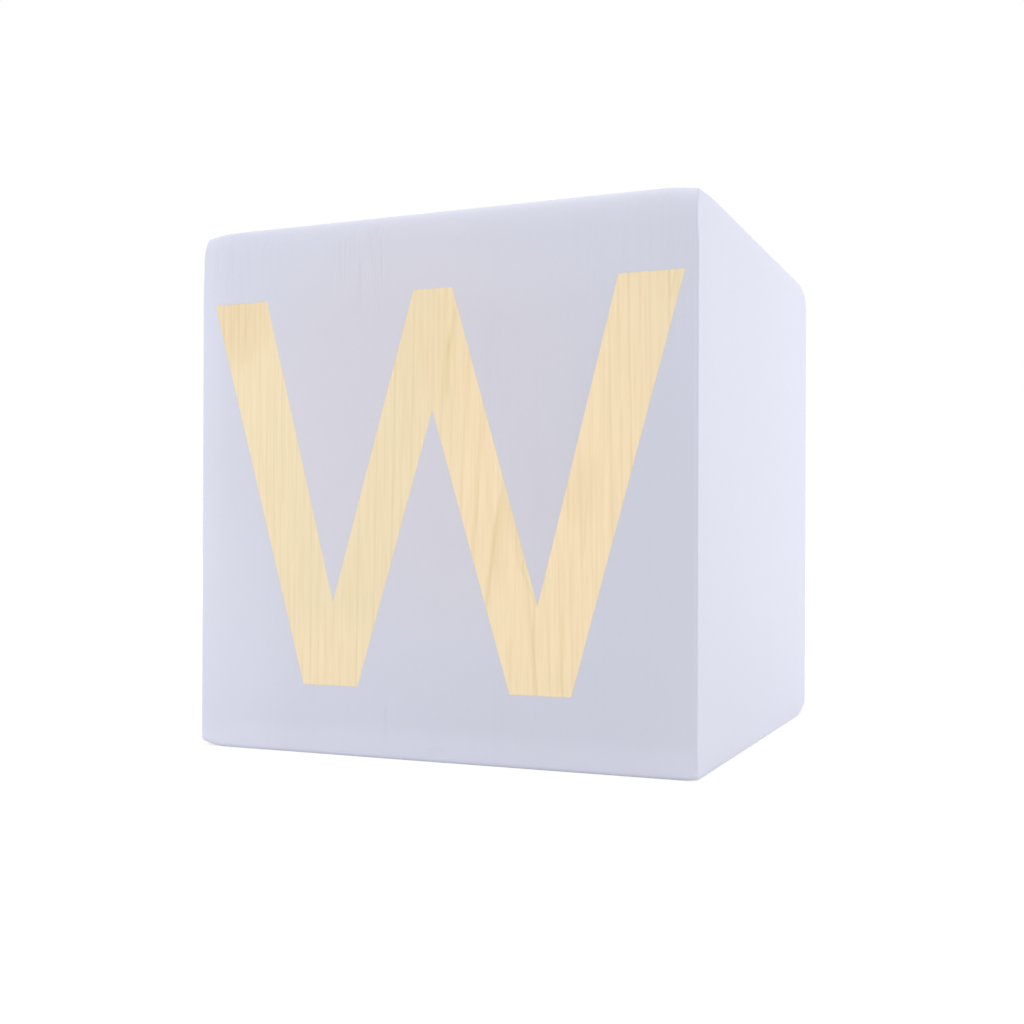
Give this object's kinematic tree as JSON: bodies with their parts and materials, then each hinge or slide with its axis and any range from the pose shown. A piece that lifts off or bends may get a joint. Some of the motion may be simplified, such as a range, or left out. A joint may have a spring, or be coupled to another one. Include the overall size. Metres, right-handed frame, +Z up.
{
  "type": "alphabet block",
  "caption": "Painted wooden toy cube with softly rounded edges and a capital letter in bare maple inlaid flush in its front face, for stacking and learning letters.",
  "frame": {"origin": "middle of the base, on the surface that the block stands on", "axes": "+Z up, the lettered face looks along -Y, +X to the right as seen from the front"},
  "size_m": [0.1, 0.1, 0.1],
  "materials": {
    "paint": "pale lavender white satin paint on sanded wood, with the upright grain showing faintly through",
    "letter_maple": "bare maple, sanded smooth, upright grain",
    "spline_birch": "bare sawn birch, hidden inside the mitres"
  },
  "bodies": {
    "root": {"front_panel": "paint", "right_panel": "paint", "back_panel": "paint", "left_panel": "paint", "top_cap": "paint", "bottom_cap": "paint", "letter_inlay": "letter_maple", "front_left_spline": "spline_birch", "front_right_spline": "spline_birch", "back_right_spline": "spline_birch", "back_left_spline": "spline_birch"}
  },
  "joints": []
}
